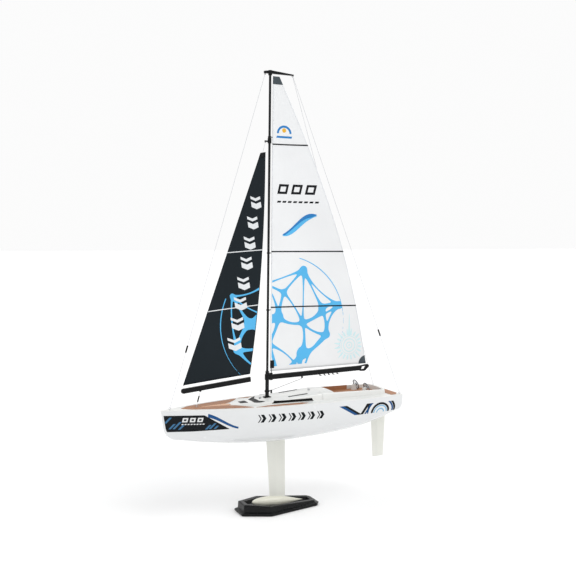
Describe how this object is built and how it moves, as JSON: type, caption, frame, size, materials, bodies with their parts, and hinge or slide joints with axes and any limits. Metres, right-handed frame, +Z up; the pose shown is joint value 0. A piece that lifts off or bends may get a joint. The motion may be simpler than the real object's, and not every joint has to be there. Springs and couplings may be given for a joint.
{
  "type": "rc sailboat",
  "caption": "Radio-controlled model sloop with swinging boom and jib, finned ballast keel, turning rudder and a display stand.",
  "frame": {"origin": "on the surface that the stand rests on, under the middle of the hull's length", "axes": "+X towards the bow, +Y to port, +Z up along the mast"},
  "size_m": [0.4, 0.104, 0.694],
  "materials": {
    "stand_black": "glossy black moulding",
    "hull_white": "glossy white moulding",
    "deck_white": "satin white moulding",
    "teak": "oiled planking",
    "teak_pale": "pale oiled planking",
    "dark_trim": "glossy dark panel",
    "wheel_chrome": "bright",
    "fin_white": "satin",
    "bulb_cream": "painted",
    "ballast_iron": "raw",
    "steel": "brushed",
    "brass_tube": "drawn",
    "rig_black": "satin black moulding",
    "mast_black": "satin black",
    "line_white": "braided line",
    "line_black": "braided line",
    "sail_white": "smooth film cloth",
    "sail_dark": "smooth printed cloth",
    "tape_black": "adhesive tape",
    "tape_white": "adhesive tape",
    "gear_black": "moulded",
    "gear_white": "moulded nylon",
    "tray_grey": "moulded",
    "cell_silver": "printed sleeve",
    "switch_red": "moulded"
  },
  "bodies": {
    "stand": {"stand_base": "stand_black"},
    "boat": {"hull_shell": "hull_white", "deck_moulding": "deck_white", "foredeck_teak": "teak", "foredeck_centre_plank": "teak_pale", "side_deck_teak": "teak", "aft_deck_teak": "teak", "cabin_windows": "dark_trim", "roof_stripes": "dark_trim", "foredeck_hatch": "dark_trim", "keel_fin": "fin_white", "keel_bulb": "bulb_cream", "ballast_weight": "ballast_iron", "keel_trunk": "tray_grey", "keel_bolt": "steel", "rudder_tube": "brass_tube", "rudder_servo": "gear_black", "sail_servo": "gear_black", "servo_tray": "tray_grey", "servo_screws": "steel", "receiver_box": "gear_black", "battery_box": "gear_black", "battery_cells": "cell_silver", "battery_lid": "gear_black", "switch_body": "gear_black", "mast_step": "rig_black", "mast_lower_sleeve": "mast_black", "mast_tube": "mast_black", "masthead_crane": "rig_black", "jib_bracket": "rig_black", "rigging_eyes": "steel", "forestay": "line_white", "backstay_port": "line_white", "backstay_starboard": "line_white", "rigging_bowsies": "rig_black", "sheet_fairleads": "steel"},
    "cover": {"cockpit_cover": "deck_white", "cockpit_teak": "teak", "wheel_pedestals": "deck_white"},
    "port_wheel": {"steering_wheel_port": "wheel_chrome"},
    "starboard_wheel": {"steering_wheel_starboard": "wheel_chrome"},
    "rudder": {"rudder_blade": "fin_white", "rudder_stock": "steel", "tiller_arm": "gear_white"},
    "horn": {"servo_horn": "gear_white"},
    "steering_rod": {"pushrod": "steel"},
    "sheet_arm": {"sail_arm": "gear_white"},
    "power_slider": {"switch_slider": "switch_red"},
    "main": {"main_boom": "rig_black", "vang_collar": "rig_black", "vang_line": "line_black", "mainsail": "sail_white", "mainsail_battens": "tape_black", "mainsail_patches": "tape_black", "luff_rings": "rig_black"},
    "jib": {"jib_boom": "rig_black", "jib_sail": "sail_dark", "jib_battens": "tape_white", "jib_head_cap": "tape_black", "jib_lines": "line_black"}
  },
  "joints": [
    {"name": "boat_lift", "type": "slide", "parent": "stand", "child": "boat", "axis": [0, 0, 1], "range_m": [0, 0.08]},
    {"name": "cover_lift", "type": "slide", "parent": "boat", "child": "cover", "axis": [0, 0, 1], "range_m": [0, 0.012]},
    {"name": "port_wheel_spin", "type": "hinge", "parent": "cover", "child": "port_wheel", "pos_m": [-0.147, 0.0174, 0.1858], "axis": [-0.9272, 0, 0.3746], "continuous": true},
    {"name": "starboard_wheel_spin", "type": "hinge", "parent": "cover", "child": "starboard_wheel", "pos_m": [-0.147, -0.0174, 0.1858], "axis": [-0.9272, 0, 0.3746], "continuous": true},
    {"name": "rudder_turn", "type": "hinge", "parent": "boat", "child": "rudder", "pos_m": [-0.176, 0, 0.12], "axis": [0, 0, 1], "range_deg": [-35, 35]},
    {"name": "horn_turn", "type": "hinge", "parent": "boat", "child": "horn", "pos_m": [-0.13, 0, 0.165], "axis": [0, 0, 1], "range_deg": [-36, 36]},
    {"name": "pushrod_pivot", "type": "hinge", "parent": "horn", "child": "steering_rod", "pos_m": [-0.13, -0.014, 0.166], "axis": [0, 0, 1], "range_deg": [-36, 36]},
    {"name": "sail_arm_turn", "type": "hinge", "parent": "boat", "child": "sheet_arm", "pos_m": [-0.07, 0.018, 0.165], "axis": [0, 0, 1], "range_deg": [-55, 55]},
    {"name": "power_switch", "type": "slide", "parent": "boat", "child": "power_slider", "axis": [1, 0, 0], "range_m": [0, 0.003]},
    {"name": "main_boom_swing", "type": "hinge", "parent": "boat", "child": "main", "pos_m": [0.02568, 0, 0.21], "axis": [-0.0124, 0, 0.9999], "range_deg": [-75, 75]},
    {"name": "jib_swing", "type": "hinge", "parent": "boat", "child": "jib", "pos_m": [0.1436, 0, 0.1771], "axis": [-0.2739, 0, 0.9618], "range_deg": [-70, 70]}
  ],
  "couplings": [
    {"joint": "horn_turn", "follows": "rudder_turn", "ratio": 1},
    {"joint": "pushrod_pivot", "follows": "rudder_turn", "ratio": -1}
  ]
}
